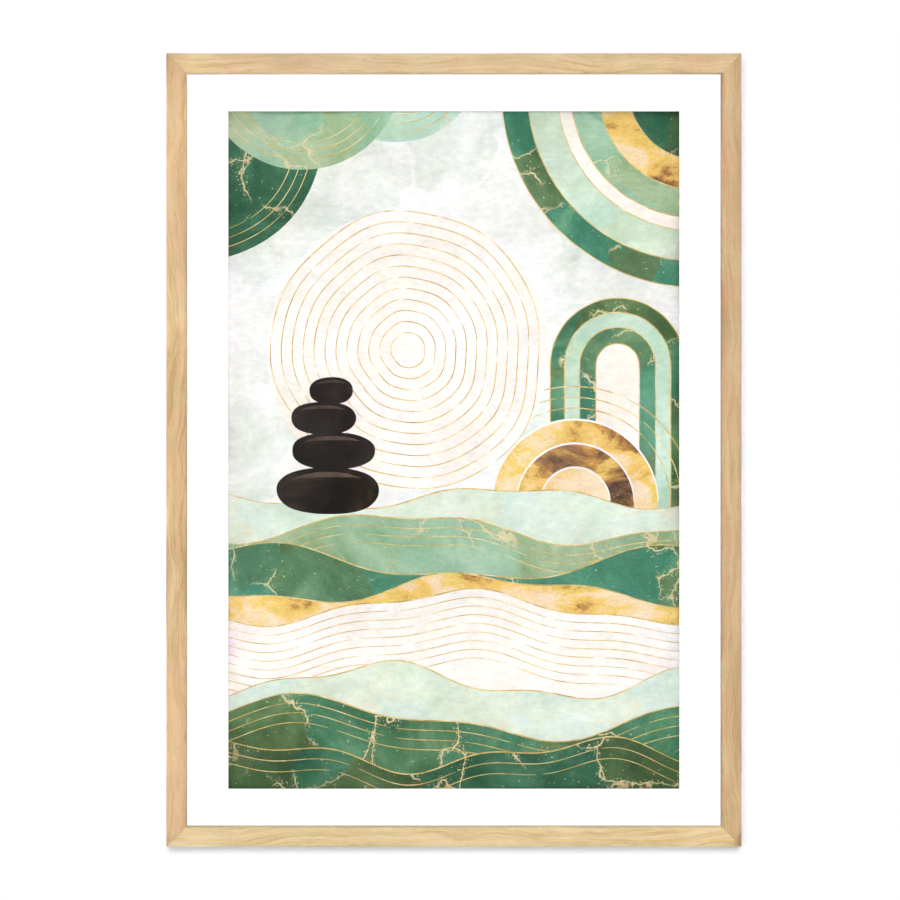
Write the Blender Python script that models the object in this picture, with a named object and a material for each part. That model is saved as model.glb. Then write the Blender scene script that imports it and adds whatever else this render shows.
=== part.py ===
"""A framed art print that hangs on a wall.

Four mitred oak rails hold acrylic glazing, a window mat, a foam spacer, the printed sheet and a backing
board. Turn buttons on the back hold the board in, and a sawtooth hanger carries the frame on one nail.

Metres, +Z up. The picture faces -Y, and the wall is the plane y = 0. The origin is on the wall, behind the
point where the nail bears on the hanger's middle notch.
"""

import math

import bmesh
import bpy

CLEARANCE = 0.0003  # between pieces that touch

# The frame, made for a 50 x 70 cm sheet
SHEET_WIDTH = 0.500
SHEET_HEIGHT = 0.700
LIP_OVERLAP = 0.005  # of the rails' lip over the edge of the sheets
SHEET_PLAY = 0.001  # between the edge of a sheet and the rebate's wall
FACE_WIDTH = 0.0185
LIP_THICKNESS = 0.005
ARRIS_RADIUS = 0.0006
ARRIS_SEGMENTS = 3

# The sheets in the rebate, front to back
GLAZING_THICKNESS = 0.002
MAT_THICKNESS = 0.0015
SPACER_THICKNESS = 0.005
PRINT_THICKNESS = 0.0005
BOARD_THICKNESS = 0.003
WINDOW_WIDTH = 0.4145
WINDOW_HEIGHT = 0.6225
SPACER_SETBACK = 0.003  # of the spacer's opening behind the edge of the mat's window

# The space between the rails and the wall, which the bumpers keep
WALL_GAP = 0.003

# Turn buttons: flat strips with round ends, each on one screw
BUTTON_LENGTH = 0.028
BUTTON_WIDTH = 0.010
BUTTON_THICKNESS = 0.0008
BUTTON_END_SEGMENTS = 10
BUTTON_PLACES = {  # along each rail from its middle, clockwise round the frame as its front is seen
    "top": {"left": -0.125, "right": 0.125},
    "right": {"upper": -0.175, "lower": 0.175},
    "bottom": {"right": -0.125, "left": 0.125},
    "left": {"lower": -0.175, "upper": 0.175},
}

SCREW_RADIUS = 0.0015
SCREW_LENGTH = 0.011
SCREW_HEAD_RADIUS = 0.0032
SCREW_HEAD_HEIGHT = 0.0013
SCREW_RECESS_LENGTH = 0.0032
SCREW_RECESS_WIDTH = 0.0007
SCREW_RECESS_DEPTH = 0.0007
ROUND_SEGMENTS = 20

# Sawtooth hanger, bent from steel strip and held by two nails
HANGER_LENGTH = 0.045
HANGER_HEIGHT = 0.011
HANGER_THICKNESS = 0.0008
HANGER_RAISED_LENGTH = 0.026
HANGER_RAMP = 0.002  # length of each bend, from the pads to the raised middle
HANGER_RISE = 0.0014
HANGER_CORNER_RADIUS = 0.002
HANGER_EDGE_MARGIN = 0.0005  # between the hanger and the rail's outer edge
NOTCH_COUNT = 5
NOTCH_PITCH = 0.0045
NOTCH_WIDTH = 0.0040
NOTCH_DEPTH = 0.0022

NAIL_RADIUS = 0.0007
NAIL_LENGTH = 0.008
NAIL_HEAD_RADIUS = 0.0016
NAIL_HEAD_HEIGHT = 0.0006

# Steel wedges driven into the back of each mitre
WEDGE_LEG = 0.007
WEDGE_THICKNESS = 0.0006
WEDGE_DEPTH = 0.007
WEDGE_INSET = 0.0035  # of the wedge's corner from the frame's outer edges

# Rubber bumpers at the frame's lower corners
BUMPER_RADIUS = 0.005
BUMPER_FROM_CORNER = 0.026
BUMPER_ROUNDING = 0.0006

# Worked out from the sizes above
SIGHT_WIDTH = SHEET_WIDTH - 2 * LIP_OVERLAP
SIGHT_HEIGHT = SHEET_HEIGHT - 2 * LIP_OVERLAP
FRAME_WIDTH = SIGHT_WIDTH + 2 * FACE_WIDTH
FRAME_HEIGHT = SIGHT_HEIGHT + 2 * FACE_WIDTH
RAIL_LENGTHS = {"top": FRAME_WIDTH, "right": FRAME_HEIGHT, "bottom": FRAME_WIDTH, "left": FRAME_HEIGHT}
LAND_WIDTH = FACE_WIDTH - LIP_OVERLAP - SHEET_PLAY  # of a rail's back, beside the rebate
STACK = (GLAZING_THICKNESS, MAT_THICKNESS, SPACER_THICKNESS, PRINT_THICKNESS, BOARD_THICKNESS)
RAIL_DEPTH = LIP_THICKNESS + sum(STACK) + CLEARANCE * len(STACK)
RAIL_BACK_Y = -WALL_GAP
NOTCH_TOP = HANGER_EDGE_MARGIN + HANGER_HEIGHT - NOTCH_DEPTH  # below the frame's top edge
FRAME_TOP_Z = NOTCH_TOP
FRAME_MIDDLE_Z = FRAME_TOP_Z - FRAME_HEIGHT / 2

SMOOTH_ANGLE = math.radians(35)
CUT_PAST = 0.001  # how far a cutter runs past the face that it cuts


def clear_scene():
    for item in list(bpy.data.objects):
        bpy.data.objects.remove(item, do_unlink=True)


def make_material(name, colour, roughness, metallic=0.0, alpha=1.0):
    material = bpy.data.materials.new(name)
    material.use_nodes = True
    shader = material.node_tree.nodes["Principled BSDF"]
    shader.inputs["Base Color"].default_value = (*colour, 1.0)
    shader.inputs["Roughness"].default_value = roughness
    shader.inputs["Metallic"].default_value = metallic
    shader.inputs["Alpha"].default_value = alpha
    return material


def make_materials():
    return {
        "oak": make_material("oak", (0.66, 0.46, 0.27), 0.55),
        "acrylic": make_material("acrylic", (0.95, 0.97, 0.97), 0.03, alpha=0.15),
        "mat_board": make_material("mat_board", (0.90, 0.90, 0.88), 0.9),
        "foam_board": make_material("foam_board", (0.85, 0.85, 0.83), 0.8),
        "print_paper": make_material("print_paper", (0.45, 0.60, 0.48), 0.7),
        "fibreboard": make_material("fibreboard", (0.30, 0.20, 0.12), 0.8),
        "zinc_steel": make_material("zinc_steel", (0.62, 0.62, 0.60), 0.35, metallic=1.0),
        "rubber": make_material("rubber", (0.12, 0.12, 0.12), 0.7),
    }


def object_from_bmesh(name, shape, material):
    """Turn a bmesh into an object, with faces out and only its sharp edges shaded sharp."""
    bmesh.ops.recalc_face_normals(shape, faces=shape.faces)
    mesh = bpy.data.meshes.new(name)
    shape.to_mesh(mesh)
    shape.free()
    mesh.shade_smooth()
    mesh.set_sharp_from_angle(angle=SMOOTH_ANGLE)
    if material:
        mesh.materials.append(material)
    return link_object(name, mesh)


def link_object(name, mesh):
    item = bpy.data.objects.new(name, mesh)
    bpy.context.scene.collection.objects.link(item)
    return item


def add_prism(shape, outline, near_y, far_y):
    """Extrude a closed outline of (x, z) points along Y."""
    verts = [shape.verts.new((x, near_y, z)) for x, z in outline]
    face = shape.faces.new(verts)
    grown = bmesh.ops.extrude_face_region(shape, geom=[face])
    moved = [item for item in grown["geom"] if isinstance(item, bmesh.types.BMVert)]
    bmesh.ops.translate(shape, verts=moved, vec=(0, far_y - near_y, 0))


def rectangle(width, height):
    half_width = width / 2
    half_height = height / 2
    return [
        (-half_width, -half_height),
        (half_width, -half_height),
        (half_width, half_height),
        (-half_width, half_height),
    ]


def circle(radius, centre=(0, 0)):
    steps = [2 * math.pi * step / ROUND_SEGMENTS for step in range(ROUND_SEGMENTS)]
    return [(centre[0] + radius * math.cos(a), centre[1] + radius * math.sin(a)) for a in steps]


def add_turned(shape, profile):
    """Turn a profile of (radius, y) points, whose ends lie on the axis, about the Y axis."""
    verts = [shape.verts.new((radius, y, 0)) for radius, y in profile]
    edges = [shape.edges.new(pair) for pair in zip(verts, verts[1:])]
    bmesh.ops.spin(
        shape,
        geom=verts + edges,
        cent=(0, 0, 0),
        axis=(0, 1, 0),
        angle=2 * math.pi,
        steps=ROUND_SEGMENTS,
        use_merge=True,
    )
    bmesh.ops.remove_doubles(shape, verts=shape.verts, dist=1e-6)


def make_cutter(name, shape, parent=None):
    cutter = object_from_bmesh(name, shape, None)
    cutter.hide_render = True
    cutter.display_type = "WIRE"
    cutter.parent = parent
    return cutter


def cut_away(item, cutter):
    modifier = item.modifiers.new("cut", "BOOLEAN")
    modifier.operation = "DIFFERENCE"
    modifier.solver = "EXACT"
    modifier.object = cutter


def cut_mesh(item, cutter):
    """Return the item's mesh with the cutter taken away, for pieces that share one mesh."""
    cut_away(item, cutter)
    finished = item.evaluated_get(bpy.context.evaluated_depsgraph_get())
    mesh = bpy.data.meshes.new_from_object(finished)
    mesh.name = item.name
    for used in (item, cutter):
        bpy.data.objects.remove(used, do_unlink=True)
    return mesh


# The rails. Each is modelled lying along X with its outer edge up: local z = 0 is the outer edge, local y = 0
# is the back, and the length is centred on x = 0. Rotation about Y turns it to its side of the frame.


def wedge_outline(corner_x, side, growth):
    """The V of a corner wedge in a rail's frame: one leg along the rail and one across it."""
    inner = WEDGE_INSET + WEDGE_THICKNESS + growth
    outer = WEDGE_INSET - growth
    tip = WEDGE_INSET + WEDGE_LEG + growth
    inset_pairs = [(outer, outer), (tip, outer), (tip, inner), (inner, inner), (inner, tip), (outer, tip)]
    return [(corner_x - side * along, -across) for along, across in inset_pairs]


def make_rail_cutter(name, length, screw_places, nail_places, rail):
    """Pilot holes for the rail's screws and nails, and its share of the slots for the corner wedges."""
    shape = bmesh.new()
    hole_sets = (
        (screw_places, SCREW_RADIUS, SCREW_LENGTH, -LAND_WIDTH / 2),
        (nail_places, NAIL_RADIUS, NAIL_LENGTH, hanger_middle()),
    )
    for places, radius, depth, level in hole_sets:
        for along in places:
            outline = circle(radius + CLEARANCE, (along, level))
            add_prism(shape, outline, -depth - CLEARANCE, CUT_PAST)
    for side in (-1, 1):
        outline = wedge_outline(side * length / 2, side, CLEARANCE)
        add_prism(shape, outline, -WEDGE_DEPTH - CLEARANCE, CUT_PAST)
    return make_cutter(name, shape, rail)


def make_rail(name, length, screw_places, nail_places, material):
    """A length of rebated moulding, mitred at both ends."""
    section = [
        (0, 0),
        (0, -RAIL_DEPTH),
        (FACE_WIDTH, -RAIL_DEPTH),
        (FACE_WIDTH, LIP_THICKNESS - RAIL_DEPTH),
        (LAND_WIDTH, LIP_THICKNESS - RAIL_DEPTH),
        (LAND_WIDTH, 0),
    ]
    mitre_gap = CLEARANCE / 2 * math.sqrt(2)
    shape = bmesh.new()
    near_end = [shape.verts.new((-length / 2 + inset + mitre_gap, y, -inset)) for inset, y in section]
    grown = bmesh.ops.extrude_face_region(shape, geom=[shape.faces.new(near_end)])
    far_end = [item for item in grown["geom"] if isinstance(item, bmesh.types.BMVert)]
    for vert in far_end:
        vert.co.x = -vert.co.x
    arrises = [edge for edge in shape.edges if is_front_arris(edge)]
    bmesh.ops.bevel(
        shape,
        geom=arrises,
        offset=ARRIS_RADIUS,
        segments=ARRIS_SEGMENTS,
        profile=0.5,
        affect="EDGES",
    )
    rail = object_from_bmesh(name, shape, material)
    cut_away(rail, make_rail_cutter(name + "_cutter", length, screw_places, nail_places, rail))
    return rail


def is_front_arris(edge):
    """The two long edges of the rail's front face."""
    ends = [vert.co for vert in edge.verts]
    at_front = all(math.isclose(end.y, -RAIL_DEPTH, abs_tol=1e-6) for end in ends)
    return at_front and math.isclose(ends[0].z, ends[1].z, abs_tol=1e-6)


def make_rails(material):
    nail_places = [side * hanger_nail_reach() for side in (-1, 1)]
    half_width = FRAME_WIDTH / 2
    sides = {
        "top": (nail_places, (0, FRAME_TOP_Z), 0),
        "right": ([], (half_width, FRAME_MIDDLE_Z), 90),
        "bottom": ([], (0, FRAME_TOP_Z - FRAME_HEIGHT), 180),
        "left": ([], (-half_width, FRAME_MIDDLE_Z), -90),
    }
    rails = {}
    for side, (nails, (x, z), turn) in sides.items():
        screws = BUTTON_PLACES[side].values()
        rail = make_rail("rail_" + side, RAIL_LENGTHS[side], screws, nails, material)
        rail.location = (x, RAIL_BACK_Y, z)
        rail.rotation_euler = (0, math.radians(turn), 0)
        rails[side] = rail
    return rails


def make_corner_wedges(rails, material):
    """One steel wedge in each mitre, at the right-hand end of each rail as it is modelled."""
    corners = {"top": "top_right", "right": "bottom_right", "bottom": "bottom_left", "left": "top_left"}
    for side, rail in rails.items():
        shape = bmesh.new()
        outline = wedge_outline(RAIL_LENGTHS[side] / 2, 1, 0)
        add_prism(shape, outline, -WEDGE_DEPTH, 0)
        wedge = object_from_bmesh("corner_wedge_" + corners[side], shape, material)
        wedge.parent = rail


# The sheets


def make_sheet(name, thickness, front_y, material):
    """A plain sheet that fills the rebate. Its origin is the middle of its front face."""
    shape = bmesh.new()
    add_prism(shape, rectangle(SHEET_WIDTH, SHEET_HEIGHT), 0, thickness)
    sheet = object_from_bmesh(name, shape, material)
    sheet.location = (0, front_y, FRAME_MIDDLE_Z)
    return sheet


def make_window_sheet(name, thickness, front_y, opening, material):
    """A sheet with a rectangular opening in its middle."""
    sheet = make_sheet(name, thickness, front_y, material)
    shape = bmesh.new()
    add_prism(shape, rectangle(*opening), -CUT_PAST, thickness + CUT_PAST)
    cut_away(sheet, make_cutter(name + "_cutter", shape, sheet))
    return sheet


def make_sheets(materials):
    spacer_opening = (WINDOW_WIDTH + 2 * SPACER_SETBACK, WINDOW_HEIGHT + 2 * SPACER_SETBACK)
    layers = [
        ("glazing", GLAZING_THICKNESS, None, "acrylic"),
        ("mat", MAT_THICKNESS, (WINDOW_WIDTH, WINDOW_HEIGHT), "mat_board"),
        ("spacer", SPACER_THICKNESS, spacer_opening, "foam_board"),
        ("print_sheet", PRINT_THICKNESS, None, "print_paper"),
        ("backing_board", BOARD_THICKNESS, None, "fibreboard"),
    ]
    y = RAIL_BACK_Y - RAIL_DEPTH + LIP_THICKNESS
    for name, thickness, opening, material in layers:
        y += CLEARANCE
        if opening:
            make_window_sheet(name, thickness, y, opening, materials[material])
        else:
            make_sheet(name, thickness, y, materials[material])
        y += thickness


# The fittings on the back. Each is parented to its rail and placed in the rail's frame.


def make_button_mesh(material):
    """A strip with round ends and a hole at its pivot, which is the origin. It reaches along -Z."""
    reach = BUTTON_LENGTH - BUTTON_WIDTH
    radius = BUTTON_WIDTH / 2
    outline = []
    for centre_z, start in ((0, 0), (-reach, math.pi)):
        for step in range(BUTTON_END_SEGMENTS + 1):
            angle = start + math.pi * step / BUTTON_END_SEGMENTS
            outline.append((radius * math.cos(angle), centre_z + radius * math.sin(angle)))
    shape = bmesh.new()
    add_prism(shape, outline, 0, BUTTON_THICKNESS)
    strip = object_from_bmesh("turn_button", shape, material)
    hole = bmesh.new()
    add_prism(hole, circle(SCREW_RADIUS + CLEARANCE), -CUT_PAST, BUTTON_THICKNESS + CUT_PAST)
    return cut_mesh(strip, make_cutter("turn_button_hole", hole))


def headed_profile(radius, length, head_radius, head_height, crown):
    """Half outline of a screw or nail. Its head stands on y = 0, and its shank and point run along -Y."""
    tip = radius * 2  # length of the point
    return [
        (0, -length),
        (radius, -length + tip),
        (radius, 0),
        (head_radius, 0),
        (head_radius, head_height - crown),
        (head_radius - crown, head_height),
        (0, head_height),
    ]


def make_screw_mesh(length, material):
    """A pan-head screw with a cross recess."""
    crown = SCREW_HEAD_HEIGHT / 3
    shape = bmesh.new()
    profile = headed_profile(SCREW_RADIUS, length, SCREW_HEAD_RADIUS, SCREW_HEAD_HEIGHT, crown)
    add_turned(shape, profile)
    screw = object_from_bmesh("button_screw", shape, material)
    half_length = SCREW_RECESS_LENGTH / 2
    half_width = SCREW_RECESS_WIDTH / 2
    quarter = [(half_width, half_length), (half_width, half_width), (half_length, half_width)]
    outline = []
    for turn in range(4):
        angle = -math.pi / 2 * turn
        for x, z in quarter:
            outline.append(
                (x * math.cos(angle) - z * math.sin(angle), x * math.sin(angle) + z * math.cos(angle))
            )
    recess = bmesh.new()
    add_prism(recess, outline, SCREW_HEAD_HEIGHT - SCREW_RECESS_DEPTH, SCREW_HEAD_HEIGHT + CUT_PAST)
    return cut_mesh(screw, make_cutter("screw_recess", recess))


def make_turn_buttons(rails, material):
    """Turn buttons that reach over the backing board, each free to turn about its screw."""
    head_y = CLEARANCE + BUTTON_THICKNESS + CLEARANCE
    button_mesh = make_button_mesh(material)
    screw_mesh = make_screw_mesh(SCREW_LENGTH + head_y, material)
    for side, places in BUTTON_PLACES.items():
        for place, along in places.items():
            button = link_object(f"turn_button_{side}_{place}", button_mesh)
            button.parent = rails[side]
            button.location = (along, CLEARANCE, -LAND_WIDTH / 2)
            screw = link_object(f"button_screw_{side}_{place}", screw_mesh)
            screw.parent = rails[side]
            screw.location = (along, head_y, -LAND_WIDTH / 2)


def hanger_middle():
    """Level of the hanger's middle in the top rail's frame."""
    return -HANGER_EDGE_MARGIN - HANGER_HEIGHT / 2


def hanger_nail_reach():
    """Distance of each hanger nail from the middle of the rail: half-way along the hanger's end pad."""
    pad_inner = HANGER_RAISED_LENGTH / 2 + HANGER_RAMP
    return (pad_inner + HANGER_LENGTH / 2) / 2


def make_hanger(rail, material):
    """Sawtooth hanger: flat end pads on the rail, a raised middle, and notches along its lower edge."""
    middle = HANGER_RAISED_LENGTH / 2
    end = HANGER_LENGTH / 2
    front = [(-end, 0), (-middle - HANGER_RAMP, 0), (-middle, HANGER_RISE)]
    front += [(-x, y) for x, y in reversed(front)]
    back = [(x, y + HANGER_THICKNESS) for x, y in reversed(front)]
    shape = bmesh.new()
    upper = [shape.verts.new((x, y, HANGER_HEIGHT / 2)) for x, y in front + back]
    grown = bmesh.ops.extrude_face_region(shape, geom=[shape.faces.new(upper)])
    lower = [item for item in grown["geom"] if isinstance(item, bmesh.types.BMVert)]
    bmesh.ops.translate(shape, verts=lower, vec=(0, 0, -HANGER_HEIGHT))
    corners = [edge for edge in shape.edges if is_hanger_corner(edge)]
    bmesh.ops.bevel(
        shape,
        geom=corners,
        offset=HANGER_CORNER_RADIUS,
        segments=4,
        profile=0.5,
        affect="EDGES",
    )
    hanger = object_from_bmesh("sawtooth_hanger", shape, material)
    hanger.parent = rail
    hanger.location = (0, CLEARANCE, hanger_middle())
    cut_away(hanger, make_hanger_cutter(hanger))


def is_hanger_corner(edge):
    """The four short edges, through the strip's thickness, at the ends of the hanger."""
    ends = [vert.co for vert in edge.verts]
    at_end = all(math.isclose(abs(end.x), HANGER_LENGTH / 2, abs_tol=1e-6) for end in ends)
    return at_end and math.isclose(ends[0].z, ends[1].z, abs_tol=1e-6)


def make_hanger_cutter(hanger):
    """The notches that the nail sits in, and the holes for the hanger's own nails."""
    far_y = HANGER_RISE + HANGER_THICKNESS + CUT_PAST
    lower_edge = -HANGER_HEIGHT / 2
    half_width = NOTCH_WIDTH / 2
    shape = bmesh.new()
    for number in range(NOTCH_COUNT):
        x = (number - (NOTCH_COUNT - 1) / 2) * NOTCH_PITCH
        outline = [
            (x, lower_edge + NOTCH_DEPTH),
            (x - half_width, lower_edge),
            (x - half_width, lower_edge - CUT_PAST),
            (x + half_width, lower_edge - CUT_PAST),
            (x + half_width, lower_edge),
        ]
        add_prism(shape, outline, -CUT_PAST, far_y)
    for side in (-1, 1):
        outline = circle(NAIL_RADIUS + CLEARANCE, (side * hanger_nail_reach(), 0))
        add_prism(shape, outline, -CUT_PAST, far_y)
    return make_cutter("sawtooth_hanger_cutter", shape, hanger)


def make_hanger_nails(rail, material):
    head_y = CLEARANCE + HANGER_THICKNESS + CLEARANCE
    crown = NAIL_HEAD_HEIGHT / 3
    length = NAIL_LENGTH + head_y
    shape = bmesh.new()
    add_turned(shape, headed_profile(NAIL_RADIUS, length, NAIL_HEAD_RADIUS, NAIL_HEAD_HEIGHT, crown))
    left_nail = object_from_bmesh("hanger_nail_left", shape, material)
    right_nail = link_object("hanger_nail_right", left_nail.data)
    for side, nail in ((-1, left_nail), (1, right_nail)):
        nail.parent = rail
        nail.location = (side * hanger_nail_reach(), head_y, hanger_middle())


def make_bumpers(rail, material):
    """Soft discs on the bottom rail, whose backs rest on the wall."""
    height = WALL_GAP - CLEARANCE
    profile = [
        (0, 0),
        (BUMPER_RADIUS, 0),
        (BUMPER_RADIUS, height - BUMPER_ROUNDING),
        (BUMPER_RADIUS - BUMPER_ROUNDING, height),
        (0, height),
    ]
    shape = bmesh.new()
    add_turned(shape, profile)
    # The bottom rail is turned upside down, so its local +X is the frame's left
    left_bumper = object_from_bmesh("bumper_left", shape, material)
    right_bumper = link_object("bumper_right", left_bumper.data)
    for side, bumper in ((1, left_bumper), (-1, right_bumper)):
        bumper.parent = rail
        bumper.location = (side * (FRAME_WIDTH / 2 - BUMPER_FROM_CORNER), CLEARANCE, -LAND_WIDTH / 2)


def main():
    clear_scene()
    materials = make_materials()
    rails = make_rails(materials["oak"])
    make_corner_wedges(rails, materials["zinc_steel"])
    make_sheets(materials)
    make_turn_buttons(rails, materials["zinc_steel"])
    make_hanger(rails["top"], materials["zinc_steel"])
    make_hanger_nails(rails["top"], materials["zinc_steel"])
    make_bumpers(rails["bottom"], materials["rubber"])


main()
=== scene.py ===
"""The look of a framed art print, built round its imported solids.

A mitred oak frame with clear glazing, a white window mat and a printed sheet hangs on a white wall. The
picture on the sheet is an abstract landscape in greens, cream and gold. The sheet is cut into one piece
for each colour of the picture, and the pieces lie side by side where the sheet lies.

Metres in the row frame: the picture faces -Y, the wall is y = 0 and +Z is up. The picture's own outlines
are in millimetres from the middle of the mat's window.
"""

import math
import random

import bmesh
import bpy
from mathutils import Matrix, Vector
from mathutils.geometry import delaunay_2d_cdt


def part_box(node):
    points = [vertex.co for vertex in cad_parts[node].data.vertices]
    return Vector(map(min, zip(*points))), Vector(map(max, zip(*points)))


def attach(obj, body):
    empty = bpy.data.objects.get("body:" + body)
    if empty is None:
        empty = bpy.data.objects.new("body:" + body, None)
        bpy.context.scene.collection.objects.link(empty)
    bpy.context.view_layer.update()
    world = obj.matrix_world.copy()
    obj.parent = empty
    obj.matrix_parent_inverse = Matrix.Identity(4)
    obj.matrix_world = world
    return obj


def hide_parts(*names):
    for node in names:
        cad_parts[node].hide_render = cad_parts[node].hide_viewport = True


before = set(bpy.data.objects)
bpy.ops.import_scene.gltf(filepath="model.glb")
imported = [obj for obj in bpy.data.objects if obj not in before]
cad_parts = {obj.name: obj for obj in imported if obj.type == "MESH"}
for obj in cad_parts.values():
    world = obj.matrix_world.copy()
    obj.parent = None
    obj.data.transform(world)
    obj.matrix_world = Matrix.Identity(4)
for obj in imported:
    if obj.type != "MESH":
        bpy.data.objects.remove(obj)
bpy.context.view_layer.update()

BODY = "frame"
MM = 0.001

# Places of the solids that the look is built round
RAIL_LOW, RAIL_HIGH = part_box("rail_left")
TOP_LOW, TOP_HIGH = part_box("rail_top")
SHEET_LOW, SHEET_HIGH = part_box("print_sheet")
FRONT_Y = RAIL_LOW.y
BACK_Y = RAIL_HIGH.y
MIDDLE = Vector((0.0, 0.0, (RAIL_LOW.z + RAIL_HIGH.z) / 2))
FACE_WIDTH = TOP_HIGH.z - TOP_LOW.z
SHEET_HALF_WIDTH = (SHEET_HIGH.x - SHEET_LOW.x) / 2 / MM
SHEET_HALF_HEIGHT = (SHEET_HIGH.z - SHEET_LOW.z) / 2 / MM

# The camera: level, square to the picture, a little to the left of its middle
LENS = 100.0
SENSOR = 36.0
FIELD_WIDTH = 0.8242  # in view at the front of the rails
CAMERA_LEFT = 0.0035

# Even lights: degrees to the left of straight on (or to the right, if negative), degrees above it (or
# below), the light that a white surface facing -Y sends back, and the light's own width in degrees
FRONT_LIGHT = (0.0, 0.0, 0.59, 4.0)
MAT_LIGHT = (0.0, 0.0, 0.50, 16.0)
WALL_LIGHTS = {
    "front": (0.0, 0.0, 0.17, 4.0),
    "above": (0.0, 20.0, 0.43, 16.0),
    "left": (14.0, 6.0, 0.23, 20.0),
}
WOOD_LIGHT = (36.0, 36.0, 0.40, 12.0)
WOOD_FILL = (-72.0, -72.0, 0.11, 10.0)
PICTURE_LIGHTS = {
    "left": (42.0, 0.0, 0.14, 50.0),
    "right": (-42.0, 0.0, 0.14, 50.0),
    "top": (0.0, 42.0, 0.16, 50.0),
}
AMBIENT_LIGHT = 0.22

# Two square lights behind the wall, one on each side, for the frame's back
BACK_LIGHT = 0.45  # that a white surface facing one of them sends back
BACK_LIGHT_SIZE = 1.4
BACK_LIGHT_PLACE = Vector((1.6, 2.2, 1.2))  # from the frame's middle

WALL_HALF_WIDTH = 3.0
WALL_TOP = 2.2
FLOOR_Z = -1.45


def linear(*srgb):
    """A colour given as 0-255 values on a screen, as the linear values that shaders take."""
    return tuple((c / 255 / 12.92) if c <= 10 else ((c / 255 + 0.055) / 1.055) ** 2.4 for c in srgb)


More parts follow.
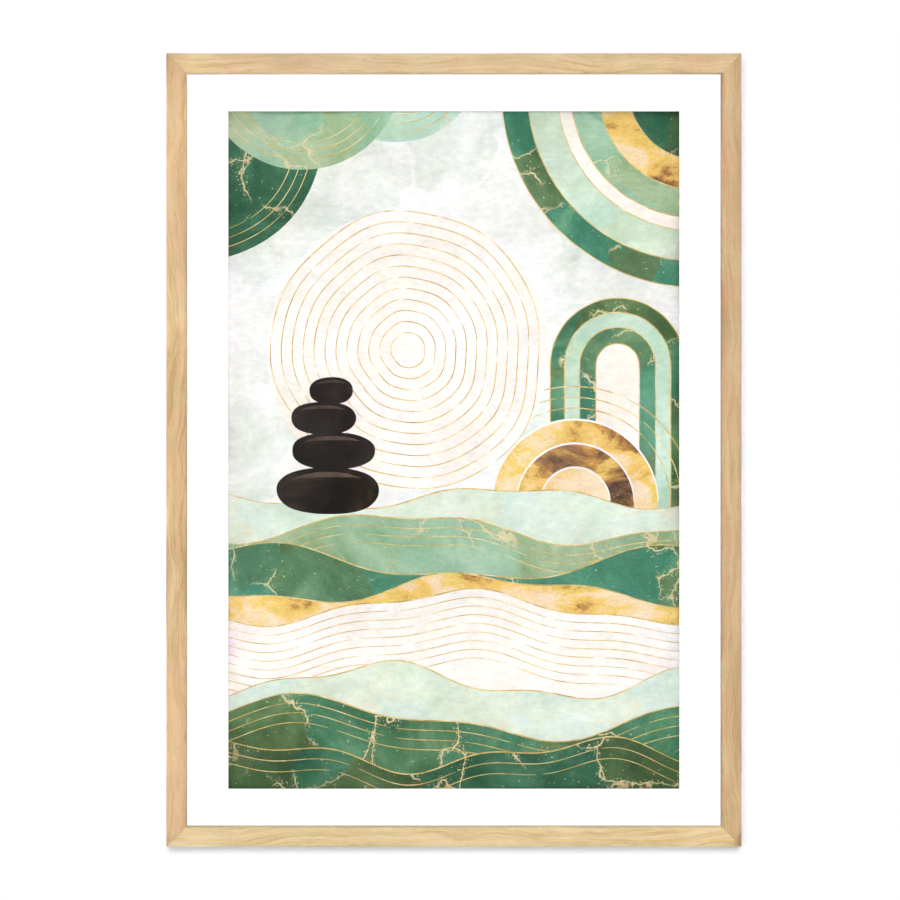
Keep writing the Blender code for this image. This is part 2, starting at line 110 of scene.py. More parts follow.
class Recipe:
    """One material's nodes, with a short call for each kind that the finishes here use."""

    def __init__(self, name):
        self.material = bpy.data.materials.new(name)
        self.material.use_nodes = True
        self.nodes = self.material.node_tree.nodes
        self.links = self.material.node_tree.links
        self.shader = self.nodes["Principled BSDF"]

    def feed(self, socket, value):
        """Link a node's output to a socket, or set a plain number or colour on the socket."""
        if isinstance(value, bpy.types.NodeSocket):
            self.links.new(value, socket)
        elif isinstance(value, (int, float)):
            socket.default_value = value
        else:
            socket.default_value = (*value, 1.0) if len(socket.default_value) > len(value) else value

    def position(self):
        """The shaded point in metres, with its piece at rest."""
        return self.nodes.new("ShaderNodeTexCoord").outputs["Object"]

    def along_z(self, point):
        """The point with its x and z changed over."""
        parts = self.nodes.new("ShaderNodeSeparateXYZ")
        whole = self.nodes.new("ShaderNodeCombineXYZ")
        self.feed(parts.inputs[0], point)
        for source, target in (("X", "Z"), ("Y", "Y"), ("Z", "X")):
            self.links.new(parts.outputs[source], whole.inputs[target])
        return whole.outputs[0]

    def moved(self, point, scale=(1.0, 1.0, 1.0), shift=(0.0, 0.0, 0.0)):
        """The point stretched and then shifted."""
        mapping = self.nodes.new("ShaderNodeMapping")
        self.feed(mapping.inputs["Vector"], point)
        mapping.inputs["Scale"].default_value = scale
        mapping.inputs["Location"].default_value = shift
        return mapping.outputs["Vector"]

    def warped(self, point, scale, reach, detail=2.0):
        """The point pushed about by up to half of reach, on each axis, by soft noise."""
        texture = self.nodes.new("ShaderNodeTexNoise")
        self.feed(texture.inputs["Vector"], point)
        texture.inputs["Scale"].default_value = scale
        texture.inputs["Detail"].default_value = detail
        push = self.nodes.new("ShaderNodeVectorMath")
        push.operation = "MULTIPLY_ADD"
        self.links.new(texture.outputs["Color"], push.inputs[0])
        push.inputs[1].default_value = reach if hasattr(reach, "__len__") else (reach,) * 3
        self.feed(push.inputs[2], point)
        return push.outputs[0]

    def noise(self, point, scale, detail=3.0, roughness=0.5, distortion=0.0):
        """Soft noise, about 0.5 on the whole."""
        texture = self.nodes.new("ShaderNodeTexNoise")
        self.feed(texture.inputs["Vector"], point)
        texture.inputs["Scale"].default_value = scale
        texture.inputs["Detail"].default_value = detail
        texture.inputs["Roughness"].default_value = roughness
        texture.inputs["Distortion"].default_value = distortion
        return texture.outputs["Fac"]

    def cracks(self, point, scale):
        """Distance from the nearest border between cells, in cell widths."""
        texture = self.nodes.new("ShaderNodeTexVoronoi")
        texture.feature = "DISTANCE_TO_EDGE"
        self.feed(texture.inputs["Vector"], point)
        texture.inputs["Scale"].default_value = scale
        return texture.outputs["Distance"]

    def cell_value(self, point, scale):
        """A value from 0 to 1 that is the same all over each cell."""
        texture = self.nodes.new("ShaderNodeTexVoronoi")
        self.feed(texture.inputs["Vector"], point)
        texture.inputs["Scale"].default_value = scale
        return self.maths("MULTIPLY", texture.outputs["Color"], 1.0)

    def spread(self, value, low, high, to_low=0.0, to_high=1.0):
        """The value carried from one range to another, and kept in it."""
        mapping = self.nodes.new("ShaderNodeMapRange")
        self.feed(mapping.inputs["Value"], value)
        mapping.inputs["From Min"].default_value = low
        mapping.inputs["From Max"].default_value = high
        mapping.inputs["To Min"].default_value = to_low
        mapping.inputs["To Max"].default_value = to_high
        return mapping.outputs["Result"]

    def maths(self, operation, first, second):
        node = self.nodes.new("ShaderNodeMath")
        node.operation = operation
        self.feed(node.inputs[0], first)
        self.feed(node.inputs[1], second)
        return node.outputs[0]

    def ramp(self, value, stops):
        """Colours along a value, from (place, colour) pairs."""
        node = self.nodes.new("ShaderNodeValToRGB")
        self.feed(node.inputs["Fac"], value)
        elements = node.color_ramp.elements
        while len(elements) < len(stops):
            elements.new(0.5)
        for element, (place, colour) in zip(elements, stops):
            element.position = place
            element.color = (*colour, 1.0)
        return node.outputs["Color"]

    def mix(self, share, first, second, kind="MIX"):
        """The first colour, and as much of the second over it as share says."""
        node = self.nodes.new("ShaderNodeMix")
        node.data_type = "RGBA"
        node.blend_type = kind
        self.feed(node.inputs[0], share)
        self.feed(node.inputs[6], first)
        self.feed(node.inputs[7], second)
        return node.outputs[2]

    def shade(self, colour, value):
        """The colour made lighter or darker by a factor."""
        node = self.nodes.new("ShaderNodeHueSaturation")
        self.feed(node.inputs["Value"], value)
        self.feed(node.inputs["Color"], colour)
        return node.outputs["Color"]

    def edges(self, radius):
        """1 on a sharp edge, falling to 0 at radius from it."""
        rounded = self.nodes.new("ShaderNodeBevel")
        rounded.samples = 4
        rounded.inputs["Radius"].default_value = radius
        flat = self.nodes.new("ShaderNodeNewGeometry")
        product = self.nodes.new("ShaderNodeVectorMath")
        product.operation = "DOT_PRODUCT"
        self.links.new(rounded.outputs["Normal"], product.inputs[0])
        self.links.new(flat.outputs["True Normal"], product.inputs[1])
        return self.spread(product.outputs["Value"], 1.0, 0.75)

    def bump(self, height, depth, strength=1.0):
        """Fine relief: a height of 1 stands depth metres above a height of 0."""
        node = self.nodes.new("ShaderNodeBump")
        node.inputs["Distance"].default_value = depth
        node.inputs["Strength"].default_value = strength
        self.feed(node.inputs["Height"], height)
        self.feed(self.shader.inputs["Normal"], node.outputs["Normal"])

    def finish(self, colour, roughness, metallic=0.0, specular=0.5):
        """Set the shader's main inputs and give back the material."""
        self.feed(self.shader.inputs["Base Color"], colour)
        self.feed(self.shader.inputs["Roughness"], roughness)
        self.shader.inputs["Metallic"].default_value = metallic
        self.shader.inputs["Specular IOR Level"].default_value = specular
        return self.material


# ---------------------------------------------------------------- finishes of the frame

OAK_PALE = linear(224, 196, 154)
OAK_MIDDLE = linear(210, 178, 130)
OAK_DARK = linear(190, 154, 101)
OAK_PORE = linear(146, 110, 70)
OAK_BLUSH = linear(208, 168, 132)
# a paler, greyer band: painted sheen on each rail's rounded outer edge
OAK_OUTER_EDGE_SHEEN = linear(204, 188, 170)
# a darker band: painted shade along each rail's inner edge, by the recess
OAK_INNER_EDGE_SHADE = linear(150, 114, 74)
EDGE_REACH = 0.0019  # of the painted sheen on a rail's outer edge and painted shade on its inner edge
LONG_BENDS = (7.0, (0.0, 0.016, 0.044))  # of the grain: how many to the metre, and how far they reach
SHORT_BENDS = (34.0, (0.0, 0.003, 0.007))
BAND_SCALE = (3.5, 90.0, 150.0)  # to the metre, along the grain and across it
STREAK_SCALE = (26.0, 300.0, 620.0)
PORE_SCALE = (110.0, 1800.0, 2600.0)


def oak(name, upright, edges, edge_sheen_and_shade, shift, tone, blush):
    """Natural oak with its grain along X, or along Z if upright.

    Along the outer edge the wood takes on a painted sheen and along the inner edge a painted shade, as
    strongly as edge_sheen_and_shade says; edges gives their places across the grain. shift picks
    a stretch of the grain, tone tints the whole and blush is the strength of its pink patches.
    """
    r = Recipe(name)
    whole = r.position()
    if upright:
        whole = r.along_z(whole)
    parts = r.nodes.new("ShaderNodeSeparateXYZ")
    r.feed(parts.inputs[0], whole)
    grain = r.moved(whole, shift=shift)
    wavy = r.warped(r.warped(grain, *LONG_BENDS), *SHORT_BENDS)
    bands = r.noise(r.moved(wavy, scale=BAND_SCALE), 1.0, detail=3.0, roughness=0.55, distortion=0.5)
    streaks = r.noise(r.moved(wavy, scale=STREAK_SCALE), 1.0, detail=4.0, roughness=0.6)
    pores = r.noise(r.moved(wavy, scale=PORE_SCALE), 1.0, detail=2.0)
    patches = r.noise(grain, 9.0, detail=2.0)
    figure = r.maths("ADD", r.maths("MULTIPLY", bands, 0.5), r.maths("MULTIPLY", streaks, 0.5))
    colour = r.ramp(figure, [(0.375, OAK_DARK), (0.475, OAK_MIDDLE), (0.585, OAK_PALE)])
    pink = r.maths("MULTIPLY", r.spread(patches, 0.42, 0.62), blush)
    colour = r.mix(pink, colour, OAK_BLUSH)
    open_pores = r.spread(pores, 0.60, 0.72)
    colour = r.mix(r.maths("MULTIPLY", open_pores, 0.45), colour, OAK_PORE)
    # painted sheen along the outer edge and painted shade along the inner edge
    for place, shade, strength in zip(edges, (OAK_OUTER_EDGE_SHEEN, OAK_INNER_EDGE_SHADE), edge_sheen_and_shade):
        inside = r.maths("ABSOLUTE", r.maths("SUBTRACT", parts.outputs["Z"], place), 0.0)
        uneven = r.maths("ADD", inside, r.spread(patches, 0.35, 0.65, -0.0003, 0.0005))
        band = r.spread(uneven, 0.0005, EDGE_REACH, 1.0, 0.0)
        colour = r.mix(r.maths("MULTIPLY", band, strength), colour, shade)
    colour = r.mix(1.0, colour, tone, "MULTIPLY")
    height = r.maths("SUBTRACT", r.maths("MULTIPLY", streaks, 0.4), open_pores)
    r.bump(height, 0.00012, 0.6)
    return r.finish(colour, r.spread(streaks, 0.3, 0.7, 0.52, 0.66), specular=0.35)


def glue(name):
    """Dried wood glue in a mitre, stained by the oak."""
    r = Recipe(name)
    speckle = r.noise(r.position(), 900.0, detail=2.0)
    colour = r.ramp(speckle, [(0.35, linear(158, 124, 82)), (0.65, linear(186, 152, 106))])
    return r.finish(colour, 0.5)


def mat_board(name):
    """White board with a faint paper tooth."""
    r = Recipe(name)
    point = r.position()
    tooth = r.noise(point, 1300.0, detail=3.0, roughness=0.6)
    clouds = r.noise(point, 30.0, detail=2.0)
    colour = r.ramp(clouds, [(0.35, (0.94, 0.94, 0.935)), (0.65, (0.96, 0.96, 0.955))])
    r.bump(tooth, 0.00006, 0.35)
    return r.finish(colour, r.spread(tooth, 0.3, 0.7, 0.85, 0.95), specular=0.2)


def acrylic(name):
    """Clear sheet: a little of the light is lost in it, and its surface is glossy."""
    r = Recipe(name)
    r.shader.inputs["Alpha"].default_value = 0.04
    r.shader.inputs["IOR"].default_value = 1.49
    return r.finish((0.10, 0.13, 0.12), 0.04)


def foam_board(name):
    """The spacer's white foam, with fine open cells on its cut edges."""
    r = Recipe(name)
    cells = r.cracks(r.position(), 1600.0)
    colour = r.ramp(cells, [(0.0, (0.78, 0.78, 0.76)), (0.25, (0.88, 0.88, 0.86))])
    r.bump(cells, 0.00012, 0.5)
    return r.finish(colour, 0.85, specular=0.2)


def hardboard(name):
    """Brown pressed fibreboard with short tangled fibres and a hard, slightly glossy face."""
    r = Recipe(name)
    point = r.position()
    bent = r.warped(point, 170.0, 0.005)
    lengthways = r.noise(r.moved(bent, scale=(430.0, 430.0, 2300.0)), 1.0, detail=3.0, roughness=0.65)
    crossways = r.noise(r.moved(bent, scale=(2300.0, 430.0, 430.0)), 1.0, detail=3.0, roughness=0.65)
    fibres = r.maths("MAXIMUM", lengthways, crossways)
    clouds = r.noise(point, 12.0, detail=4.0)
    colour = r.ramp(
        fibres,
        [(0.42, linear(112, 82, 56)), (0.55, linear(142, 108, 77)), (0.72, linear(172, 138, 104))],
    )
    colour = r.shade(colour, r.spread(clouds, 0.3, 0.7, 0.88, 1.1))
    r.bump(fibres, 0.00008, 0.5)
    return r.finish(colour, r.spread(fibres, 0.4, 0.7, 0.48, 0.66))


def zinc(name, scratch_axis):
    """Bright zinc plate on steel: patchy, finely scratched along one axis, worn at the edges."""
    r = Recipe(name)
    point = r.position()
    stretch = [900.0, 900.0, 900.0]
    stretch[scratch_axis] = 45.0
    scratches = r.noise(r.moved(point, scale=stretch), 4.0, detail=2.0)
    spangle = r.noise(point, 260.0, detail=3.0, roughness=0.6)
    colour = r.ramp(spangle, [(0.35, (0.50, 0.50, 0.49)), (0.65, (0.68, 0.68, 0.67))])
    colour = r.mix(r.maths("MULTIPLY", r.edges(0.0004), 0.5), colour, (0.78, 0.78, 0.77))
    r.bump(scratches, 0.00003, 0.4)
    return r.finish(colour, r.spread(scratches, 0.35, 0.65, 0.28, 0.44), metallic=1.0)


def rubber(name):
    """Soft dark rubber with a dusty bloom."""
    r = Recipe(name)
    dust = r.noise(r.position(), 500.0, detail=4.0, roughness=0.7)
    colour = r.ramp(dust, [(0.4, (0.030, 0.030, 0.030)), (0.7, (0.085, 0.083, 0.080))])
    r.bump(dust, 0.00005, 0.5)
    return r.finish(colour, r.spread(dust, 0.3, 0.7, 0.62, 0.85), specular=0.3)


def paint(node, material):
    """Give a CAD node one material."""
    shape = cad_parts[node].data
    shape.materials.clear()
    shape.materials.append(material)


RAIL_LOOKS = {  # each rail is a different stretch of wood, with painted light in the bottom's tone
    "rail_left": {
        "upright": True,
        "edges": (RAIL_LOW.x, RAIL_LOW.x + FACE_WIDTH),
        "edge_sheen_and_shade": (0.50, 0.10),
        "shift": (0.57, 0.0, 1.9),
        "tone": (0.876, 0.870, 0.806),
        "blush": 0.50,
    },
    "rail_right": {
        "upright": True,
        "edges": (-RAIL_LOW.x, -RAIL_LOW.x - FACE_WIDTH),
        "edge_sheen_and_shade": (0.60, 0.22),
        "shift": (2.13, 0.4, 3.9),
        "tone": (0.768, 0.740, 0.685),
        "blush": 0.25,
    },
    "rail_top": {
        "upright": False,
        "edges": (TOP_HIGH.z, TOP_LOW.z),
        "edge_sheen_and_shade": (0.45, 0.10),
        "shift": (4.43, 0.9, 0.6),
        "tone": (0.955, 1.018, 1.035),
        "blush": 0.40,
    },
    "rail_bottom": {
        "upright": False,
        "edges": (RAIL_LOW.z, RAIL_LOW.z + FACE_WIDTH),
        "edge_sheen_and_shade": (0.45, 0.16),
        "shift": (6.71, 1.3, 2.2),
        # lighter than the others, in part as painted light bounced up from below
        "tone": (1.022, 1.107, 1.098),
        "blush": 0.10,
    },
}


def paint_frame():
    """Give every CAD node but the printed sheet its finish."""
    for node, look in RAIL_LOOKS.items():
        paint(node, oak("oak_" + node, **look))
        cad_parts[node].visible_diffuse = False  # it colours neither the white mat nor the wall
    paint("mat", mat_board("mat_white"))
    paint("glazing", acrylic("clear_acrylic"))
    paint("spacer", foam_board("white_foam"))
    paint("backing_board", hardboard("brown_hardboard"))
    lengthways = zinc("zinc_plate_lengthways", 0)
    upright = zinc("zinc_plate_upright", 2)
    black = rubber("black_rubber")
    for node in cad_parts:
        if node.startswith("bumper"):
            paint(node, black)
        elif node.startswith(("turn_button_left", "turn_button_right")):
            paint(node, lengthways)
        elif node.startswith(("turn_button", "button_screw", "hanger_nail", "corner_wedge")):
            paint(node, upright)
        elif node == "sawtooth_hanger":
            paint(node, lengthways)
    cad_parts["glazing"].visible_shadow = False  # all light goes through it to the picture


# ---------------------------------------------------------------- glue lines in the mitres

GLUE_HALF_WIDTH = 0.00013
GLUE_SUNK = 0.00035  # below the faces of the rails
LIP_THICKNESS = 0.005
REBATE_WIDTH = 0.006  # from the rebate's wall to the frame's inner edge


def add_glue_line(name, side, end, material):
    """A thin L-shaped body in the mitre at one corner: side is -1 or 1 in X and end is -1 or 1 in Z."""
    across = (GLUE_SUNK, FACE_WIDTH - REBATE_WIDTH - GLUE_SUNK, FACE_WIDTH - GLUE_SUNK)
    deep = (FRONT_Y + GLUE_SUNK, FRONT_Y + LIP_THICKNESS - GLUE_SUNK, BACK_Y - GLUE_SUNK)
    section = (
        (across[0], deep[0]),
        (across[2], deep[0]),
        (across[2], deep[1]),
        (across[1], deep[1]),
        (across[1], deep[2]),
        (across[0], deep[2]),
    )
    corner = Vector((side * TOP_HIGH.x, 0.0, TOP_HIGH.z if end > 0 else RAIL_LOW.z))
    inwards = Vector((-side, 0.0, -end))
    sideways = Vector((side, 0.0, -end)).normalized() * GLUE_HALF_WIDTH
    shape = bmesh.new()
    rings = []
    for offset in (sideways, -sideways):
        places = [corner + inwards * a + Vector((0, y, 0)) + offset for a, y in section]
        rings.append([shape.verts.new(place) for place in places])
    for ring in rings:
        shape.faces.new(ring)
    count = len(section)
    for i in range(count):
        j = (i + 1) % count
        shape.faces.new((rings[0][i], rings[0][j], rings[1][j], rings[1][i]))
    bmesh.ops.recalc_face_normals(shape, faces=shape.faces)
    return add_piece(name, shape, material)


def add_piece(name, shape, material):
    """Make a mesh piece that rides on the frame, and free the bmesh."""
    mesh = bpy.data.meshes.new(name)
    shape.to_mesh(mesh)
    shape.free()
    piece = bpy.data.objects.new(name, mesh)
    bpy.context.scene.collection.objects.link(piece)
    mesh.materials.append(material)
    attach(piece, BODY)
    return piece


# ---------------------------------------------------------------- the picture's outlines, in millimetres

STEP = 2.0  # between points along a curve
BLEED = 12.0  # past the sheet's edge
TIP = 0.25  # width of a drawn line's ends, as a share of its middle


def around(centre, radius, wobble=0.0, seed=0, squash=1.0, square=1.0, start=0.0, end=2 * math.pi):
    """Points along a circle or part of one, made uneven, flatter or squarer."""
    chooser = random.Random(seed)
    waves = [(count, wobble / count**0.7, chooser.uniform(0, 2 * math.pi)) for count in (2, 3, 5, 8)]
    steps = max(12, int(abs(end - start) * radius / STEP))
    points = []
    for i in range(steps + 1):
        angle = start + (end - start) * i / steps
        r = radius * (1 + sum(size * math.sin(count * angle + phase) for count, size, phase in waves))
        c, s = math.cos(angle), math.sin(angle)
        x = math.copysign(abs(c) ** square, c)
        z = math.copysign(abs(s) ** square, s)
        points.append(Vector((centre[0] + r * x, centre[1] + r * squash * z)))
    return points


def ring(centre, radius, **how):
    """A closed outline from around()."""
    return around(centre, radius, **how)[:-1]


def ribbon(path, half_width):
    """A thin closed outline along a path, thinner at both ends."""
    left, right = [], []
    last = len(path) - 1
    for i, point in enumerate(path):
        along = (path[min(i + 1, last)] - path[max(i - 1, 0)]).normalized()
        aside = Vector((-along.y, along.x))
        fullness = max(0.0, math.sin(math.pi * i / last)) ** 0.4
        width = half_width * (TIP + (1 - TIP) * fullness)
        left.append(point + aside * width)
        right.append(point - aside * width)
    return left + right[::-1]


def broken(path, chooser, shortest, longest, gap):
    """The path cut into runs of drawn line with gaps between them."""
    runs = []
    i = 0
    while i < len(path) - 3:
        count = max(3, int(chooser.uniform(shortest, longest) / STEP))
        run = path[i : i + count + 1]
        if len(run) > 3:
            runs.append(run)
        i += count + max(1, int(chooser.uniform(0.3, 1.0) * gap / STEP))
    return runs


def hill_height(hill, x):
    """Height of a hill's crest, from its level and its waves of (size, length, phase)."""
    crest, waves = hill
    return crest + sum(size * math.sin(2 * math.pi * x / length + phase) for size, length, phase in waves)


def hill_line(hill, drop=0.0):
    """Points along a hill's crest, or along a line that lies drop below it."""
    low = -SHEET_HALF_WIDTH - BLEED
    high = SHEET_HALF_WIDTH + BLEED
    steps = int((high - low) / STEP)
    xs = [low + (high - low) * i / steps for i in range(steps + 1)]
    return [Vector((x, hill_height(hill, x) - drop)) for x in xs]


def hill_outline(hill):
    """The hill down to past the sheet's lower edge."""
    line = hill_line(hill)
    floor = -SHEET_HALF_HEIGHT - BLEED
    return [Vector((line[0].x, floor)), Vector((line[-1].x, floor))] + line[::-1]


HILLS = {  # level and waves, from the far one to the near one
    "far": (-44.0, ((9.0, 310.0, 0.6), (3.0, 118.0, 1.9))),
    "sage": (-72.0, ((13.0, 350.0, 2.5), (4.0, 140.0, 0.4))),
    "emerald": (-104.0, ((15.0, 420.0, 4.4), (5.0, 165.0, 1.2))),
    "foil": (-128.0, ((12.0, 350.0, 1.1), (5.0, 150.0, 2.2))),
    "blush": (-145.0, ((14.0, 370.0, 1.5), (4.0, 130.0, 0.3))),
    "mint": (-213.0, ((15.0, 330.0, 2.9), (5.0, 125.0, 4.0))),
    "green": (-247.0, ((17.0, 430.0, 3.6), (6.0, 170.0, 0.8))),
    "forest": (-281.0, ((12.0, 320.0, 5.4), (6.0, 130.0, 0.5))),
}
CONTOURS = {  # drops from the crest to each gold line across a hill
    "sage": (9, 17, 25),
    "blush": (8, 16, 24, 32, 40, 48, 56, 64),
    "green": (9, 18, 27),
    "forest": (10, 20),
}
FINE_LINE = 0.4  # half widths of the printed gold lines
LINE = 0.5
HEAVY_LINE = 0.6
RIM_LINE = 0.9

MOON = (-42.0, 92.0)
MOON_RADIUS = 130.0
MOON_RINGS = range(16, 128, 10)
MOON_RIM_INSET = 1.5
DOME = (112.0, -48.0)
DOME_RADII = (76.0, 54.0, 32.0)
DOME_RAYS = (87.0, 97.0, 107.0)
ARCH = (151.0, 78.0)
ARCH_RADII = (62.0, 49.0, 35.0, 20.0)
ARCH_FOOT = -120.0  # where its legs end, behind the hills
CORNER = (224.0, 330.0)
CORNER_RADII = (180.0, 156.0, 128.0, 116.0, 90.0, 62.0)
CLOUDS = (
    ("cloud_deep", (-236.0, 288.0), 114.0),
    ("cloud_mint", (-52.0, 362.0), 78.0),
    ("cloud_sage", (-140.0, 350.0), 92.0),
)
CLOUD_LINES = (9.0, 17.0, 25.0)  # in from each cloud's edge
PEBBLE_X = -116.0
PEBBLES = (  # shift aside, half width and flatness, from the lowest up
    (0.0, 47.0, 0.46),
    (5.0, 38.0, 0.45),
    (-4.0, 30.0, 0.50),
    (3.0, 20.0, 0.62),
)
PEBBLES_SUNK = 9.0  # below the crest of the hill that they stand on
PEBBLE_OVERLAP = 2.0  # where each rests on the one below
SHINE_SIZE = 0.80  # of the pebble's
SHINE_START, SHINE_END = 0.20 * math.pi, 0.84 * math.pi
SHINE_DEPTH = 0.22  # of the pebble's half height, at the middle of the crescent


def add_moon(shapes):
    """A cream disc with uneven broken rings."""
    shapes.append(("moon", ring(MOON, MOON_RADIUS, wobble=0.004, seed=3)))
    chooser = random.Random(11)
    for radius in MOON_RINGS:
        start = chooser.uniform(0, 2 * math.pi)
        path = around(MOON, radius, wobble=0.035, seed=5, start=start, end=start + 2 * math.pi)
        for run in broken(path, chooser, shortest=34.0, longest=130.0, gap=7.0):
            shapes.append(("moon_lines", ribbon(run, LINE)))
    rim = around(MOON, MOON_RADIUS - MOON_RIM_INSET, wobble=0.004, seed=3)
    shapes.append(("moon_lines", ribbon(rim, HEAVY_LINE)))


def add_corner(shapes):
    """Nested arches in the top right corner."""
    names = ("corner_deep", "corner_mint", "corner_cream", "corner_sage", "corner_foil", "corner_green")
    for name, radius in zip(names, CORNER_RADII):
        shapes.append((name, ring(CORNER, radius)))
        path = around(CORNER, radius, start=math.pi * 0.9, end=math.pi * 1.6)
        shapes.append(("corner_lines", ribbon(path, LINE)))


def add_clouds(shapes):
    """Overlapping round clouds in the top left corner."""
    chooser = random.Random(23)
    for name, centre, radius in CLOUDS:
        how = {"wobble": 0.006, "seed": radius}
        shapes.append((name, ring(centre, radius, **how)))
        for inset in CLOUD_LINES:
            path = around(centre, radius - inset, start=math.pi * 0.9, end=math.pi * 2.2, **how)
            for run in broken(path, chooser, shortest=50.0, longest=150.0, gap=8.0):
                shapes.append(("cloud_lines", ribbon(run, FINE_LINE)))


def add_arch(shapes):
    """A standing arch of nested bands."""
    names = ("arch_deep", "arch_mint", "arch_green", "arch_cream")
    legs = [ARCH_FOOT + STEP * i for i in range(int((ARCH[1] - ARCH_FOOT) / STEP))]
    for name, radius in zip(names, ARCH_RADII):
        right = [Vector((ARCH[0] + radius, z)) for z in legs]
        left = [Vector((ARCH[0] - radius, z)) for z in reversed(legs)]
        outline = right + around(ARCH, radius, end=math.pi) + left
        shapes.append((name, outline))
        shapes.append(("arch_lines", ribbon(outline, LINE)))


def add_rays(shapes):
    """Thin broken arcs round the dome."""
    chooser = random.Random(31)
    for radius in DOME_RAYS:
        path = around(DOME, radius, wobble=0.004, seed=7, end=math.pi * 0.8)
        for run in broken(path, chooser, shortest=60.0, longest=170.0, gap=6.0):
            shapes.append(("dome_lines", ribbon(run, LINE)))


def add_dome(shapes):
    """A half disc of gold bands, with cream between them, rising behind the hills."""
    how = {"wobble": 0.004, "seed": 9}
    for name, radius in zip(("dome_outer", "dome_middle", "dome_core"), DOME_RADII):
        shapes.append((name, ring(DOME, radius, **how)))
        shapes.append(("dome_rims", ribbon(around(DOME, radius, end=math.pi, **how), RIM_LINE)))


def add_pebbles(shapes):
    """Dark stones balanced on each other, each with a soft shine on its upper side."""
    floor = hill_height(HILLS["far"], PEBBLE_X) - PEBBLES_SUNK
    for i, (shift, radius, squash) in enumerate(PEBBLES):
        half_height = radius * squash
        centre = (PEBBLE_X + shift, floor + half_height)
        how = {"wobble": 0.012, "seed": 40 + i, "squash": squash, "square": 0.86}
        shapes.append(("pebbles", ring(centre, radius, **how)))
        shine = around(centre, radius * SHINE_SIZE, start=SHINE_START, end=SHINE_END, **how)
        last = len(shine) - 1
        for j in range(last - 1, 0, -1):
            drop = half_height * SHINE_DEPTH * math.sin(math.pi * j / last)
            shine.append(shine[j] - Vector((0, drop)))
        shapes.append(("pebble_shine", shine))
        floor += 2 * half_height - PEBBLE_OVERLAP


def add_hills(shapes, names):
    """These hills, each over the one before, with a gold crest and broken contour lines."""
    chooser = random.Random(57)
    for name in names:
        hill = HILLS[name]
        shapes.append(("hill_" + name, hill_outline(hill)))
        shapes.append(("hill_lines", ribbon(hill_line(hill), HEAVY_LINE)))
        for drop in CONTOURS.get(name, ()):
            for run in broken(hill_line(hill, drop), chooser, shortest=60.0, longest=190.0, gap=12.0):
                shapes.append(("hill_lines", ribbon(run, FINE_LINE)))


def picture_shapes():
    """(piece, outline) for everything in the picture, with later outlines over earlier ones."""
    w, h = SHEET_HALF_WIDTH, SHEET_HALF_HEIGHT
    shapes = [("wash", [Vector(corner) for corner in ((-w, -h), (w, -h), (w, h), (-w, h))])]
    add_clouds(shapes)
    add_corner(shapes)
    add_arch(shapes)
    add_rays(shapes)
    add_moon(shapes)
    add_dome(shapes)
    add_hills(shapes, ("far",))
    add_pebbles(shapes)
    add_hills(shapes, ("sage", "emerald", "foil", "blush", "mint", "green", "forest"))
    return shapes


# ---------------------------------------------------------------- the picture's pieces

INSIDE_OUTLINES = 1  # the kind of result asked of the triangulation
MERGE_DISTANCE = 1e-4  # millimetres between points that are taken as one

# Heights on each piece's bake map, as shares of the whole
FRONT_SHARE = 0.96  # the printed front
BACK_STRIP = 0.97  # where the back's strip starts
SIDE_STRIP = 0.99  # where the cut edges' strip starts
STRIP_HEIGHT = 0.01


def area_of(outline):
    """Twice the area, positive if the outline runs anticlockwise."""
    following = outline[1:] + outline[:1]
    return sum(a.x * b.y - b.x * a.y for a, b in zip(outline, following))


def cut_up(shapes):
    """The sheet cut into triangles, each given to the last shape that covers it."""
    points, faces = [], []
    for _, outline in shapes:
        if area_of(outline) < 0:
            outline = outline[::-1]
        faces.append(list(range(len(points), len(points) + len(outline))))
        points.extend(outline)
    result = delaunay_2d_cdt(points, [], faces, INSIDE_OUTLINES, MERGE_DISTANCE, True)
    corners, _, triangles, _, _, covers = result
    regions = {}
    for triangle, cover in zip(triangles, covers):
        if 0 in cover:
            regions.setdefault(shapes[max(cover)][0], []).append(triangle)
    return corners, regions


def add_ink(name, corners, triangles, material):
    """One colour of the picture: the sheet's full thickness, cut to that colour's outline."""
    shape = bmesh.new()
    layer = shape.loops.layers.uv.new("OFBake")
    used = sorted({i for triangle in triangles for i in triangle})
    xs = [corners[i].x for i in used]
    zs = [corners[i].y for i in used]
    left, low = min(xs), min(zs)
    width, height = max(xs) - left, max(zs) - low
    front, back = {}, {}
    for i in used:
        x, z = corners[i].x * MM, MIDDLE.z + corners[i].y * MM
        front[i] = shape.verts.new((x, SHEET_LOW.y, z))
        back[i] = shape.verts.new((x, SHEET_HIGH.y, z))

    def spot(i, base, share):
        return ((corners[i].x - left) / width, base + share * (corners[i].y - low) / height)

    def add_face(verts, spots):
        face = shape.faces.new(verts)
        for loop, uv in zip(face.loops, spots):
            loop[layer].uv = uv

    rim = {}
    for triangle in triangles:
        if area_of([corners[i] for i in triangle]) < 0:
            triangle = triangle[::-1]
        add_face([front[i] for i in triangle], [spot(i, 0.0, FRONT_SHARE) for i in triangle])
        turned = triangle[::-1]
        add_face([back[i] for i in turned], [spot(i, BACK_STRIP, STRIP_HEIGHT) for i in turned])
        for a, b in zip(triangle, triangle[1:] + triangle[:1]):
            if rim.pop((b, a), None) is None:
                rim[(a, b)] = True
    for a, b in rim:
        ends = ((a, 0), (a, STRIP_HEIGHT), (b, STRIP_HEIGHT), (b, 0))
        spots = [(spot(i, 0, 0)[0], SIDE_STRIP + rise) for i, rise in ends]
        add_face([front[a], back[a], back[b], front[b]], spots)
    piece = add_piece("print_" + name, shape, material)
    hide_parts("print_sheet")
    return piece


# ---------------------------------------------------------------- inks

